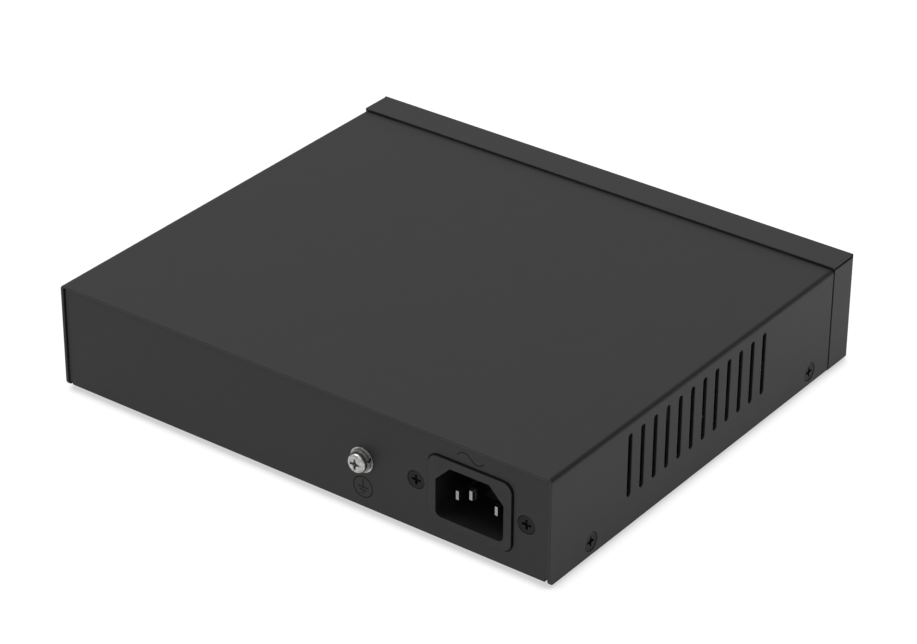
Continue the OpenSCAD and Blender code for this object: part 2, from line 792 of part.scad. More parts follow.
// Tapped standoffs clinched into the floor
module board_standoffs() {
    color("#b5b5af") at_board_screws(floor_z) difference() {
        union() {
            cylinder(h = sheet, d = standoff_foot_d);
            translate([0, 0, sheet]) cylinder(h = standoff_h, d = standoff_d);
        }
        translate([0, 0, -cut])
            cylinder(h = sheet + standoff_h + 2 * cut, d = board_screw_d + 2 * thread_fit);
    }
}

module board_screws() {
    color("#c8c8c4") at_board_screws(board_top)
        pan_screw(board_screw_head, board_screw_head_h, board_screw_d, standoff_h + board_t - 1);
}

film_t = 0.4;
film_gap = 0.5;

// Sheet of insulation between the power board and the floor
module insulating_sheet() {
    color("#d8d2b8") difference() {
        translate([power_x, power_y, floor_top]) cube([power_w, power_l, film_t]);
        for (p = power_holes) translate([p[0], p[1], floor_top - cut])
            cylinder(h = film_t + 2 * cut, d = standoff_d + 2 * film_gap);
    }
}

// ---- Jacks ----

// The mouth of one jack, centred on X, its lowest edge at the origin
module jack_mouth() {
    translate([-step_2_w / 2, 0]) square([step_2_w, step_2_h + 0.01]);
    translate([-step_1_w / 2, step_2_h]) square([step_1_w, step_1_h + 0.01]);
    translate([-jack_w / 2, step_1_h + step_2_h]) square([jack_w, jack_h]);
}

// Places its children at each jack of a gang
module at_jacks(x, count) {
    for (i = [0 : count - 1]) translate([x + (i - (count - 1) / 2) * jack_pitch, 0, 0]) children();
}

// A moulded block with one cavity for each plug
module jack_housing(x, count, w) {
    front = jack_face_y + shield_t;
    inside = w - 2 * (shield_t + thread_fit);
    color("#2a2a2a") difference() {
        translate([x - inside / 2, front, board_top])
            cube([inside, jack_body_d, jack_body_h - shield_t - thread_fit]);
        at_jacks(x, count) along_y(front - cut, jack_cavity_d + cut) translate([0, mouth_z]) jack_mouth();
        // Slots that hold the contacts along the roof of each cavity
        at_jacks(x, count) for (k = [0 : contact_n - 1])
            translate([(k - (contact_n - 1) / 2) * contact_pitch - contact_w / 2 - thread_fit,
                       front + 1.4, jack_wide_z + jack_h - 0.1])
                cube([contact_w + 2 * thread_fit, jack_cavity_d - 1.4, 0.7]);
    }
}

// A folded metal skin: front with the mouths cut out, roof, sides and back
module jack_shield(x, count, w) {
    color("#b9bbbd") difference() {
        translate([x - w / 2, jack_face_y, board_top])
            cube([w, jack_body_d + 2 * shield_t + thread_fit, jack_body_h]);
        translate([x - w / 2 + shield_t, jack_face_y + shield_t, board_top - cut])
            cube([w - 2 * shield_t, jack_body_d + thread_fit, jack_body_h - shield_t + cut]);
        at_jacks(x, count) along_y(jack_face_y - cut, shield_t + 2 * cut)
            translate([0, mouth_z]) jack_mouth();
    }
}

module gang_housing() { jack_housing(gang_x, gang_n, gang_w); }
module uplink_housing() { jack_housing(uplink_x, uplink_count, uplink_w); }
module gang_shield() { jack_shield(gang_x, gang_n, gang_w); }
module uplink_shield() { jack_shield(uplink_x, uplink_count, uplink_w); }

// One spring contact, seen from the side: along the roof, round its nose and back on a slope
module contact_outline() {
    t = 0.35;
    nose = jack_face_y + shield_t + 1.8;
    top = jack_wide_z + jack_h + 0.35;
    back = jack_face_y + shield_t + jack_cavity_d - 0.3;
    tip = nose + 8;
    polygon([[back, top], [nose, top], [nose, top - 2 * t], [tip, top - contact_drop - t],
             [tip, top - contact_drop], [nose + 3 * t, top - t], [back, top - t]]);
}

module jack_contacts() {
    color("#d9b45a") for (g = [[gang_x, gang_n], [uplink_x, uplink_count]])
        at_jacks(g[0], g[1]) for (k = [0 : contact_n - 1])
            along_x((k - (contact_n - 1) / 2) * contact_pitch - contact_w / 2, contact_w) contact_outline();
}

// ---- Lights ----

// Black block on the board's front edge that carries the lights
module light_holder() {
    front = tray_y + sheet_fit;
    h = light_z + light_row / 2 + light_d / 2 + 1 - board_top;
    color("#181818") difference() {
        translate([light_x - holder_w / 2, front, board_top]) cube([holder_w, holder_d, h]);
        at_lights(front - cut) cylinder(h = holder_d / 2 + cut, d = light_d + 2 * thread_fit);
    }
}

// Lenses with round noses that show in the bezel
module light_lenses() {
    nose_y = bezel_y - light_nose + light_d / 2;
    color("#e8efe8") at_lights(nose_y) rotate_extrude() {
        square([light_d / 2, tray_y + sheet_fit + holder_d / 2 - nose_y]);
        difference() {
            circle(light_d / 2);
            translate([-light_d, -light_d]) square([light_d, 2 * light_d]);
            square(light_d);
        }
    }
}

// ---- Main board's components ----

// Gap between neighbouring components, and from them to a board's edge
part_gap = 1.5;
edge_gap = 3;

chip_w = 20;
chip_h = 1.6;
chip_sink_over = 4;
chip_sink_w = chip_w + 2 * chip_sink_over;
chip_sink_base = 2;
chip_fin_h = 6;
chip_fin_t = 1;
chip_fins = 9;
magnetics_w = 16;
magnetics_l = 7;
magnetics_h = 5.5;
magnetics_n = ceil(gang_n / 2);
magnetics_y = jack_face_y + jack_body_d + 2 * shield_t + 4 * part_gap + magnetics_l / 2;
chip_x = gang_x + 1.75 * jack_pitch;
chip_y = magnetics_y + magnetics_l / 2 + part_gap + chip_sink_w / 2;
beside_chip = chip_sink_w / 2 + part_gap;
port_chip_w = 9;
port_chip_h = 1.2;
port_chip_n = 2;
port_chip_y = strip_back_y + 14;
inductor_w = 12;
inductor_h = 6;
inductor_n = 4;
inductor_y = port_chip_y + 20;
arm_margin = 20;
board_can_d = 10;
board_can_h = 16;
board_can_n = 3;
small_can_d = 6.3;
small_can_h = 8;
crystal_w = 11.2;
crystal_l = 3.2;
crystal_h = 3;
flash_w = 5;
flash_l = 4;
flash_h = 1.5;

// X of the i-th of n components spread over the main board's arm
function on_arm(i, n) = arm_x + arm_margin + i * (arm_w - 2 * arm_margin) / (n - 1);

// A block on a board, with its middle at x and y
module chip(x, y, w, l, h) {
    translate([x - w / 2, y - l / 2, board_top]) cube([w, l, h]);
}

module switch_chip() {
    color("#1b1b1d") chip(chip_x, chip_y, chip_w, chip_w, chip_h);
}

// Finned heat sink glued to the switch chip
module chip_heatsink() {
    pitch = (chip_sink_w - chip_fin_t) / (chip_fins - 1);
    color("#20242a") translate([chip_x - chip_sink_w / 2, chip_y - chip_sink_w / 2, board_top + chip_h]) {
        cube([chip_sink_w, chip_sink_w, chip_sink_base]);
        for (i = [0 : chip_fins - 1]) translate([i * pitch, 0, chip_sink_base])
            cube([chip_fin_t, chip_sink_w, chip_fin_h]);
    }
}

// Isolating transformer modules behind the jacks, one for each pair
module magnetics_modules() {
    color("#1d1d1f") {
        for (i = [0 : magnetics_n - 1])
            chip(gang_x + (i - (magnetics_n - 1) / 2) * 2 * jack_pitch, magnetics_y,
                 magnetics_w, magnetics_l, magnetics_h);
        chip(uplink_x, magnetics_y, magnetics_w, magnetics_l, magnetics_h);
    }
}

module port_power_chips() {
    color("#1b1b1d") for (i = [0 : port_chip_n - 1])
        chip(on_arm(i, port_chip_n), port_chip_y, port_chip_w, port_chip_w, port_chip_h);
}

module power_inductors() {
    color("#3a3a3c") for (i = [0 : inductor_n - 1])
        chip(on_arm(i, inductor_n), inductor_y, inductor_w, inductor_w, inductor_h);
}

module clock_crystal() {
    r = crystal_l / 2;
    straight = crystal_w / 2 - r;
    color("#c6c6c2") translate([chip_x + beside_chip + crystal_w / 2, chip_y, board_top]) {
        translate([-straight, -r, 0]) cube([2 * straight, crystal_l, crystal_h]);
        for (side = [-1, 1]) translate([side * straight, 0, 0]) cylinder(h = crystal_h, r = r);
    }
}

module flash_chip() {
    color("#1b1b1d") chip(chip_x - beside_chip - flash_w / 2, chip_y, flash_w, flash_l, flash_h);
}

// A can capacitor standing on a board, with a crimped groove near its foot
module can_capacitor(x, y, d, h) {
    groove = 0.4;
    groove_z = 2.5;
    translate([x, y, board_top]) rotate_extrude() difference() {
        square([d / 2, h]);
        translate([d / 2, groove_z]) circle(groove);
    }
}

module board_capacitors() {
    color("#23262b") {
        for (i = [0 : board_can_n - 1])
            can_capacitor(on_arm(i, board_can_n), arm_back_y - board_can_d, board_can_d, board_can_h);
        for (i = [0 : board_can_n - 1])
            can_capacitor(chip_x - beside_chip - flash_w - (i + 1) * (small_can_d + part_gap), chip_y,
                          small_can_d, small_can_h);
    }
}

// ---- Power board's components ----

// Tallest that a component can be under the roof
roof_clear = 2;
tall_h = roof_z - roof_clear - board_top;

// Front row: two output capacitors, then the output heat sink and the header
out_can_d = 8;
out_can_h = 15;
out_can_n = 2;
out_can_x = power_x + 2 * hole_inset + part_gap + out_can_d / 2;
front_row_y = power_y + edge_gap + out_can_d;
header_w = 6;
header_l = 8;
header_h = 6;
header_x = power_x + power_w - edge_gap - header_w / 2;
header_y = power_y + 2 * hole_inset + header_l / 2;
plug_x = arm_x + edge_gap + header_w / 2;
sink_t = 2;
sink_h = min(20, tall_h);
out_sink_from = out_can_x + (out_can_n - 1) * (out_can_d + part_gap) + out_can_d / 2 + part_gap;
out_sink_to = header_x - header_w / 2 - part_gap;

// Power devices stand a little off the board, against their heat sinks
device_w = 10;
device_t = 4.5;
device_h = 15;
device_z = board_top + 3;
sink_touch = 0.1;

// Left column: bulk capacitor, rectifier and line choke
bulk_d = 18;
bulk_h = min(24, tall_h);
column_x = power_x + edge_gap + bulk_d / 2;
bulk_y = front_row_y + part_gap + bulk_d / 2;
bridge_w = 15;
bridge_l = 3.5;
bridge_h = 11;
bridge_y = bulk_y + bulk_d / 2 + part_gap + bridge_l / 2;
choke_ring_r = 6.5;
choke_wire_r = 3;
choke_r = choke_ring_r + choke_wire_r;
choke_y = bridge_y + bridge_l / 2 + part_gap + choke_wire_r;

// Right column: heat sink with the switching transistor
main_sink_l = 22;
main_sink_x = power_x + power_w - edge_gap - sink_t / 2;
main_sink_y = header_y + header_l / 2 + part_gap + main_sink_l / 2;
transistor_x = main_sink_x - sink_t / 2 - sink_touch - device_t;

// Rear rows: fuse and line capacitor, in front of the wires from the inlet
wire_row = 2.5;
fuse_d = 5.2;
fuse_l = 12;
fuse_y = power_back_y - 2 * wire_row - fuse_d / 2;
line_cap_w = 18;
line_cap_l = 8;
line_cap_h = 14;
line_cap_y = fuse_y - fuse_d / 2 - part_gap - line_cap_l / 2;

// The transformer fills the room between the columns, midway between the rows
bobbin_from = column_x + max(choke_r, bulk_d / 2) + part_gap;
bobbin_w = transistor_x - part_gap - bobbin_from;
transformer_x = bobbin_from + bobbin_w / 2;
transformer_y = (front_row_y + line_cap_y - line_cap_l / 2) / 2;
transformer_h = min(22, tall_h);
bobbin_l = 18;
pin_rail_h = 4;
bobbin_top_h = 2.4;
winding_d = 21;
core_w = 10;
core_leg = 3;
core_yoke = 1.6;
winding_gap = 0.5;

// Wound bobbin with its pin rail below and its flange above
module power_transformer() {
    color("#c99b2c") translate([transformer_x, transformer_y, board_top]) {
        translate([-bobbin_w / 2, -bobbin_l / 2, 0]) cube([bobbin_w, bobbin_l, pin_rail_h]);
        cylinder(h = transformer_h - core_yoke, d = winding_d);
        translate([0, 0, transformer_h - core_yoke - bobbin_top_h])
            linear_extrude(height = bobbin_top_h) square([winding_d, winding_d], center = true);
    }
}

// Ferrite core: two legs and a yoke round the bobbin
module transformer_core() {
    inner = winding_d / 2 + winding_gap;
    color("#2c2c2e") translate([transformer_x - core_w / 2, transformer_y, board_top]) {
        for (side = [-1, 1]) translate([0, side * (inner + core_leg / 2) - core_leg / 2, 0])
            cube([core_w, core_leg, transformer_h]);
        translate([0, -inner - core_leg, transformer_h - core_yoke])
            cube([core_w, 2 * (inner + core_leg), core_yoke]);
    }
}

module bulk_capacitor() {
    color("#1d2b4a") can_capacitor(column_x, bulk_y, bulk_d, bulk_h);
}

// Common-mode choke: a wound ring on edge
module line_choke() {
    color("#a8642e") translate([column_x, choke_y, board_top + choke_r]) rotate([90, 0, 0])
        rotate_extrude() translate([choke_ring_r, 0]) circle(choke_wire_r);
}

module line_fuse() {
    color("#d9d4c4") translate([transformer_x - fuse_l / 2, fuse_y, board_top + fuse_d / 2])
        rotate([0, 90, 0]) cylinder(h = fuse_l, d = fuse_d);
}

module line_capacitor() {
    color("#c9a227") chip(transformer_x, line_cap_y, line_cap_w, line_cap_l, line_cap_h);
}

module bridge_rectifier() {
    color("#1b1b1d") chip(column_x, bridge_y, bridge_w, bridge_l, bridge_h);
}

module primary_heatsink() {
    color("#a9abad") chip(main_sink_x, main_sink_y, sink_t, main_sink_l, sink_h);
}

module switching_transistor() {
    color("#1b1b1d") translate([transistor_x, main_sink_y - device_w / 2, device_z])
        cube([device_t, device_w, device_h]);
}

module output_heatsink() {
    w = out_sink_to - out_sink_from;
    color("#a9abad") chip(out_sink_from + w / 2, front_row_y - sink_t / 2, w, sink_t, sink_h);
}

module output_diode() {
    y = front_row_y - sink_t - sink_touch - device_t;
    color("#1b1b1d") translate([(out_sink_from + out_sink_to - device_w) / 2, y, device_z])
        cube([device_w, device_t, device_h]);
}

module output_capacitors() {
    color("#23262b") for (i = [0 : out_can_n - 1])
        can_capacitor(out_can_x + i * (out_can_d + part_gap), power_y + edge_gap + out_can_d / 2,
                      out_can_d, out_can_h);
}

// ---- Wires ----

wire_r = 0.9;
wire_sides = 8;
wire_turn = 3;

// Live and neutral leads from the inlet's tails down to the power board
module inlet_wires() {
    start_y = inlet_back_y - blade_tail;
    drop_y = power_back_y - wire_row;
    color("#7a3b2a") for (side = [-1, 1]) {
        x = inlet_cx + side * blade_pitch / 2;
        wire([[x, start_y, live_z], [x, drop_y, live_z], [x, drop_y, board_top]], wire_r, [1, 0.2, 0.1]);
    }
}

// Earth lead from the inlet's upper blade to a ring lug under one of the inlet's nuts
module earth_lead() {
    start = [inlet_cx, inlet_back_y - blade_tail, earth_z];
    lug_x = inlet_cx + inlet_pitch / 2;
    lug_y = panel_in_y - inlet_flange - lug_t;
    turn_y = start[1] - wire_turn;
    over_z = inlet_cz + rim_h / 2 + 2 * wire_r;
    end_z = inlet_cz + lug_d / 2 - 1;
    color("#3f7d3a") {
        wire([start, [start[0], turn_y, start[2]], [start[0], turn_y, over_z], [lug_x, turn_y, over_z],
              [lug_x, lug_y - lug_t, over_z], [lug_x, lug_y - lug_t, end_z]], wire_r, [0.3, 0.5, 0.2]);
        translate([lug_x, lug_y, inlet_cz]) rotate([-90, 0, 0]) difference() {
            cylinder(h = lug_t, d = lug_d);
            translate([0, 0, -cut]) cylinder(h = lug_t + 2 * cut, d = csk_d + 4 * thread_fit);
        }
    }
}

// Two-pin headers on both boards
module cable_headers() {
    color("#e6e0d0") for (x = [header_x, plug_x]) chip(x, header_y, header_w, header_l, header_h);
}

// Pair of wires that carries power from the power board to the main board
module power_cable() {
    z = board_top + header_h;
    color("#b03030") for (dy = [-header_l / 4, header_l / 4])
        wire([[header_x, header_y + dy, z], [header_x, header_y + dy, z + wire_turn],
              [plug_x, header_y + dy, z + wire_turn], [plug_x, header_y + dy, z]], wire_r, [0, 1, 0]);
}

top_cover();
base_tray();
front_bezel();
cover_screws();
rubber_feet();
inlet_body();
inlet_live_blades();
inlet_earth_blade();
inlet_screws();
inlet_nuts();
ground_screw();
ground_lock_washer();
ground_flat_washer();
ground_nut();
main_board();
power_board();
board_standoffs();
board_screws();
insulating_sheet();
gang_housing();
uplink_housing();
gang_shield();
uplink_shield();
jack_contacts();
light_holder();
light_lenses();
switch_chip();
chip_heatsink();
magnetics_modules();
port_power_chips();
board_capacitors();
clock_crystal();
flash_chip();
power_inductors();
power_transformer();
transformer_core();
bulk_capacitor();
line_choke();
line_fuse();
line_capacitor();
bridge_rectifier();
switching_transistor();
primary_heatsink();
output_diode();
output_heatsink();
output_capacitors();
inlet_wires();
earth_lead();
power_cable();
cable_headers();
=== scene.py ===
"""Finishes, marks, light and camera of a desktop network switch, laid out as a Blender add-on."""

import math

import bpy
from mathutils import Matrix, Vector


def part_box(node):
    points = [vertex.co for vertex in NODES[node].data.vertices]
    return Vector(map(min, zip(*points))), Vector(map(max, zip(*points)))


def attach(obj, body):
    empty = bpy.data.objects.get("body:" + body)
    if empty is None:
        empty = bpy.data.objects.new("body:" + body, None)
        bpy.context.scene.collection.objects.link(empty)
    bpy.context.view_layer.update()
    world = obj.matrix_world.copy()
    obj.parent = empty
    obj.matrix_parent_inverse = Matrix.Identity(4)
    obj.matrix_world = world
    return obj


bl_info = {
    "name": "Desktop network switch",
    "version": (1, 0, 0),
    "blender": (4, 5, 0),
    "location": "3D View > Sidebar > Switch",
    "description": "Dresses a desktop network switch in its finishes and lights it",
    "category": "Object",
}

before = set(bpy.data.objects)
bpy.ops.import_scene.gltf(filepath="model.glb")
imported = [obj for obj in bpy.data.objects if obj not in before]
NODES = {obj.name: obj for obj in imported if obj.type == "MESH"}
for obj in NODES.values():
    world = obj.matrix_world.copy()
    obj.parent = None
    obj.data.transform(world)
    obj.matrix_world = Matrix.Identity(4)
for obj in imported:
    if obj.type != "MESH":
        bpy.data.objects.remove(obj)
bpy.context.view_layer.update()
MM = 0.001
CASE = "switch_case"

# Radii of the edges of moulded plastic and of pressed or turned metal, in mm.
MOULDED_EDGE_MM = 0.15
PRESSED_EDGE_MM = 0.12
# Noise lies about the middle of 0 to 1, so this stretch of it is spread over a texture's whole range.
NOISE_LOW, NOISE_HIGH = 0.3, 0.7
# Cosine between the true and the rounded normal, where the painted highlight on an edge begins and where it
# is full.
PAINTED_HIGHLIGHT_START, PAINTED_HIGHLIGHT_FULL = 0.99, 0.85


# ---- Helpers ----


def linear(hex_colour, alpha=1.0):
    """sRGB hex to the linear colour that shaders take."""
    channels = [int(hex_colour[i:i + 2], 16) / 255 for i in (1, 3, 5)]
    return [c / 12.92 if c <= 0.04045 else ((c + 0.055) / 1.055) ** 2.4 for c in channels] + [alpha]


def add(tree, kind, links=None, **settings):
    """Adds a node with its settings; links maps an input to another node's output or to a value."""
    made = tree.nodes.new(kind)
    for name, value in settings.items():
        setattr(made, name, value)
    for name, source in (links or {}).items():
        if isinstance(source, bpy.types.NodeSocket):
            tree.links.new(source, made.inputs[name])
        else:
            made.inputs[name].default_value = source
    return made


def start_material(name):
    """A new material with an empty tree."""
    material = bpy.data.materials.new(name)
    material.use_nodes = True
    material.node_tree.nodes.clear()
    return material, material.node_tree


def start_surface(name):
    """A new material, its empty tree and the place on the object that its textures follow."""
    material, tree = start_material(name)
    return material, tree, add(tree, "ShaderNodeTexCoord").outputs["Object"]


def finish_material(tree, shader):
    """Leads the shader to the material's surface."""
    add(tree, "ShaderNodeOutputMaterial", {"Surface": shader.outputs[0]})


def per_metre(size_mm):
    """Noise scale at which one cell is about size_mm across."""
    return 1.0 / (size_mm * MM)


def soft_edge(tree, radius_mm, samples=4):
    """Normal that turns over an edge as if it were rounded to radius_mm."""
    return add(tree, "ShaderNodeBevel", {"Radius": radius_mm * MM}, samples=samples).outputs["Normal"]


def mottled(tree, place, hex_colour, size_mm, spread):
    """The colour, a little lighter and darker in soft patches of size_mm."""
    noise = add(tree, "ShaderNodeTexNoise", {"Vector": place, "Scale": per_metre(size_mm), "Detail": 3.0})
    base = linear(hex_colour)
    ramp = add(tree, "ShaderNodeValToRGB", {"Fac": noise.outputs["Fac"]})
    stops = ((NOISE_LOW, 1 - spread), (NOISE_HIGH, 1 + spread))
    for stop, (position, share) in zip(ramp.color_ramp.elements, stops):
        stop.position = position
        stop.color = [c * share for c in base[:3]] + [1]
    return ramp.outputs["Color"]


def grain_bump(tree, place, size_mm, depth_mm, normal=None):
    """Bump from fine noise: size_mm across and depth_mm deep."""
    noise = add(tree, "ShaderNodeTexNoise", {"Vector": place, "Scale": per_metre(size_mm), "Detail": 2.0})
    links = {"Height": noise.outputs["Fac"], "Distance": depth_mm * MM, "Strength": 1.0}
    if normal is not None:
        links["Normal"] = normal
    return add(tree, "ShaderNodeBump", links).outputs["Normal"]


def wear_roughness(tree, place, low, high, size_mm):
    """Roughness that drifts between two values in patches of size_mm."""
    noise = add(tree, "ShaderNodeTexNoise", {"Vector": place, "Scale": per_metre(size_mm), "Detail": 4.0})
    return add(tree, "ShaderNodeMapRange", {
        "Value": noise.outputs["Fac"], "From Min": NOISE_LOW, "From Max": NOISE_HIGH,
        "To Min": low, "To Max": high}).outputs["Result"]


# ---- Materials ----


def powder_coat(name, hex_colour, edge_mm, painted_highlight_hex="#424242"):
    """Powder coat, baked on steel sheet: satin, with a faint orange peel; paler along each edge, a painted
    highlight.
    """
    material, tree, place = start_surface(name)
    edge = soft_edge(tree, edge_mm, samples=6)
    flat = add(tree, "ShaderNodeNewGeometry").outputs["Normal"]
    # Painted highlight: the coat's colour turns paler along every edge, where the rounded normal turns away
    # from the true one.
    along = add(tree, "ShaderNodeVectorMath", {0: edge, 1: flat}, operation="DOT_PRODUCT")
    painted_highlight_share = add(tree, "ShaderNodeMapRange", {
        "Value": along.outputs["Value"], "From Min": PAINTED_HIGHLIGHT_START, "From Max": PAINTED_HIGHLIGHT_FULL})
    coat = add(tree, "ShaderNodeMixRGB", {
        "Fac": painted_highlight_share.outputs["Result"],
        "Color1": mottled(tree, place, hex_colour, 0.7, 0.05),
        "Color2": linear(painted_highlight_hex)})
    finish_material(tree, add(tree, "ShaderNodeBsdfPrincipled", {
        "Base Color": coat.outputs["Color"],
        "Roughness": wear_roughness(tree, place, 0.48, 0.5, 5),
        "IOR": 1.45,
        "Specular IOR Level": 0.48,
        "Normal": grain_bump(tree, place, 0.6, 0.004, edge)}))
    return material


def moulded_plastic(name, hex_colour, roughness, grain_mm):
    """Glass-filled nylon or PBT, moulded in a finely eroded tool: matt, with a close even grain."""
    material, tree, place = start_surface(name)
    edge = soft_edge(tree, MOULDED_EDGE_MM)
    finish_material(tree, add(tree, "ShaderNodeBsdfPrincipled", {
        "Base Color": mottled(tree, place, hex_colour, 2 * grain_mm, 0.06),
        "Roughness": wear_roughness(tree, place, roughness - 0.04, roughness + 0.04, 4),
        "IOR": 1.5,
        "Normal": grain_bump(tree, place, grain_mm, 0.006, edge)}))
    return material


def plated_steel(name, hex_colour, roughness, scratch_mm, dulled=0.05):
    """Nickel or zinc plate on turned steel: bright metal, broken by fine tool marks and duller patches."""
    material, tree, place = start_surface(name)
    edge = soft_edge(tree, PRESSED_EDGE_MM)
    finish_material(tree, add(tree, "ShaderNodeBsdfPrincipled", {
        "Base Color": mottled(tree, place, hex_colour, 1.1, dulled),
        "Metallic": 1.0,
        "Roughness": wear_roughness(tree, place, roughness * 0.8, roughness * 1.3, 1.5),
        "Normal": grain_bump(tree, place, scratch_mm, 0.0015, edge)}))
    return material


def blackened_steel(name, hex_colour):
    """Black zinc plate on a pressed screw: dark, with a dull metal glint on its edges."""
    material, tree, place = start_surface(name)
    edge = soft_edge(tree, PRESSED_EDGE_MM)
    finish_material(tree, add(tree, "ShaderNodeBsdfPrincipled", {
        "Base Color": mottled(tree, place, hex_colour, 0.5, 0.12),
        "Metallic": 0.2,
        "Specular IOR Level": 0.3,
        "Roughness": wear_roughness(tree, place, 0.34, 0.5, 0.8),
        "Normal": grain_bump(tree, place, 0.25, 0.006, edge)}))
    return material


def moulded_rubber(name, hex_colour):
    """Moulded rubber foot: dark, soft sheen and a dusty surface."""
    material, tree, place = start_surface(name)
    finish_material(tree, add(tree, "ShaderNodeBsdfPrincipled", {
        "Base Color": mottled(tree, place, hex_colour, 1.5, 0.15),
        "Roughness": wear_roughness(tree, place, 0.75, 0.9, 3),
        "Normal": grain_bump(tree, place, 0.4, 0.02)}))
    return material


def board_laminate(name, hex_colour, track_hex):
    """Epoxy glass laminate under solder mask: glossy, with copper tracks that show as paler lines."""
    material, tree, place = start_surface(name)
    tracks = add(tree, "ShaderNodeTexBrick", {
        "Vector": place, "Scale": per_metre(6),
        "Color1": linear(hex_colour), "Color2": linear(hex_colour), "Mortar": linear(track_hex),
        "Mortar Size": 0.03, "Brick Width": 1.3, "Row Height": 0.45})
    finish_material(tree, add(tree, "ShaderNodeBsdfPrincipled", {
        "Base Color": tracks.outputs["Color"],
        "Roughness": wear_roughness(tree, place, 0.25, 0.4, 5),
        "Normal": grain_bump(tree, place, 0.5, 0.004)}))
    return material


def lens_acrylic(name, hex_colour):
    """Diffused acrylic light pipe: pale, glossy and a little cloudy."""
    material, tree, place = start_surface(name)
    finish_material(tree, add(tree, "ShaderNodeBsdfPrincipled", {
        "Base Color": mottled(tree, place, hex_colour, 1, 0.04),
        "Roughness": wear_roughness(tree, place, 0.12, 0.2, 1),
        "Transmission Weight": 0.35,
        "IOR": 1.49}))
    return material


def painted_pressed_line_shade(name, hex_colour):
    """Powder coat down in a pressed line, as painted shade: near black and matt colour that stands for the
    shade where the light hardly reaches.
    """
    material, tree, place = start_surface(name)
    finish_material(tree, add(tree, "ShaderNodeBsdfPrincipled", {
        "Base Color": mottled(tree, place, hex_colour, 0.7, 0.1),
        "Roughness": wear_roughness(tree, place, 0.7, 0.85, 3),
        "Specular IOR Level": 0.25,
        "Normal": grain_bump(tree, place, 0.3, 0.004)}))
    return material


def give(material, *names):
    """Puts one material on every slot of the named CAD nodes."""
    for name in names:
        mesh = NODES[name].data
        mesh.materials.clear()
        mesh.materials.append(material)


# ---- Settings ----


class SwitchFinish(bpy.types.PropertyGroup):
    """Colours and edges of the finishes"""
    cover: bpy.props.StringProperty(
        name="Cover", description="sRGB hex of the cover's coat", default="#282828")
    tray: bpy.props.StringProperty(
        name="Tray", description="sRGB hex of the tray's coat", default="#262626")
    bezel: bpy.props.StringProperty(
        name="Bezel", description="sRGB hex of the bezel's coat", default="#2b2b2b")
    edge_mm: bpy.props.FloatProperty(
        name="Coated edge", description="Radius that the coat gives a sheet edge, mm",
        default=0.35, min=0.05, max=0.6)
    inlet: bpy.props.StringProperty(
        name="Inlet", description="sRGB hex of the inlet's plastic", default="#181818")
    nickel: bpy.props.StringProperty(
        name="Nickel", description="sRGB hex of bright nickel", default="#c2c2c0")


class SwitchMarks(bpy.types.PropertyGroup):
    """Sizes and places of the marks on the rear panel"""
    line_mm: bpy.props.FloatProperty(
        name="Line", description="Width of a mark's line, mm", default=0.45)
    earth_radius: bpy.props.FloatProperty(
        name="Earth mark", description="Radius of the earth mark's ring",
        default=3.5 * MM, unit="LENGTH")
    earth_drop: bpy.props.FloatProperty(
        name="Earth mark's drop", description="Height of the ground screw above the mark's middle",
        default=9.7 * MM, unit="LENGTH")
    wave_length: bpy.props.FloatProperty(
        name="Wave mark", description="Length of the alternating-current wave",
        default=9.5 * MM, unit="LENGTH")
    wave_rise: bpy.props.FloatProperty(
        name="Wave mark's rise", description="Height of the wave above the inlet's middle",
        default=14.6 * MM, unit="LENGTH")


class SwitchStage(bpy.types.PropertyGroup):
    """Camera and light"""
    camera_place: bpy.props.FloatVectorProperty(
        name="Camera", description="Camera's place", size=3,
        default=(-0.5428, 0.7343, 0.5450), subtype="TRANSLATION")
    camera_turn: bpy.props.FloatVectorProperty(
        name="Camera's turn", description="Camera's rotation", size=3,
        default=[math.radians(a) for a in (60.074, -0.377, -143.438)], subtype="EULER")
    lens: bpy.props.FloatProperty(
        name="Lens", description="Focal length on the sensor, mm", default=131.27)
    sensor: bpy.props.FloatProperty(
        name="Sensor", description="Width of the sensor, mm", default=36)
    shift: bpy.props.FloatVectorProperty(
        name="Shift", description="Lens shift across and up", size=2, default=(-0.0067, 0.0003))
    sky: bpy.props.FloatProperty(
        name="Sky", description="Strength of the even light", default=0.4)
    key_watts: bpy.props.FloatProperty(
        name="Key", description="Power of the lamp overhead", default=2.7)
    side_watts: bpy.props.FloatProperty(
        name="Side", description="Power of the lamp beside the vents", default=0.9)


# ---- Pieces ----


class PaintCase(bpy.types.Operator):
    """Powder-coats the cover, the tray and the bezel"""
    bl_idname = "network_switch.paint_case"
    bl_label = "Paint the case"

    def execute(self, context):
        finish = context.scene.switch_finish
        give(powder_coat("black_powder_coat_cover", finish.cover, finish.edge_mm), "top_cover")
        give(powder_coat("black_powder_coat_tray", finish.tray, finish.edge_mm), "base_tray")
        give(powder_coat("black_powder_coat_bezel", finish.bezel, finish.edge_mm), "front_bezel")
        return {"FINISHED"}


class FitFeet(bpy.types.Operator):
    """Gives the feet their rubber"""
    bl_idname = "network_switch.fit_feet"
    bl_label = "Fit the feet"

    def execute(self, context):
        give(moulded_rubber("moulded_black_rubber", "#1d1d1d"), "rubber_feet")
        return {"FINISHED"}


class FitInlet(bpy.types.Operator):
    """Gives the mains inlet its moulded body and plated blades"""
    bl_idname = "network_switch.fit_inlet"
    bl_label = "Fit the mains inlet"

    def execute(self, context):
        finish = context.scene.switch_finish
        give(moulded_plastic("moulded_black_pbt", finish.inlet, 0.5, 0.35), "inlet_body")
        give(plated_steel("nickel_plated_brass", "#a9a9a7", 0.2, 0.6),
             "inlet_live_blades", "inlet_earth_blade")
        return {"FINISHED"}


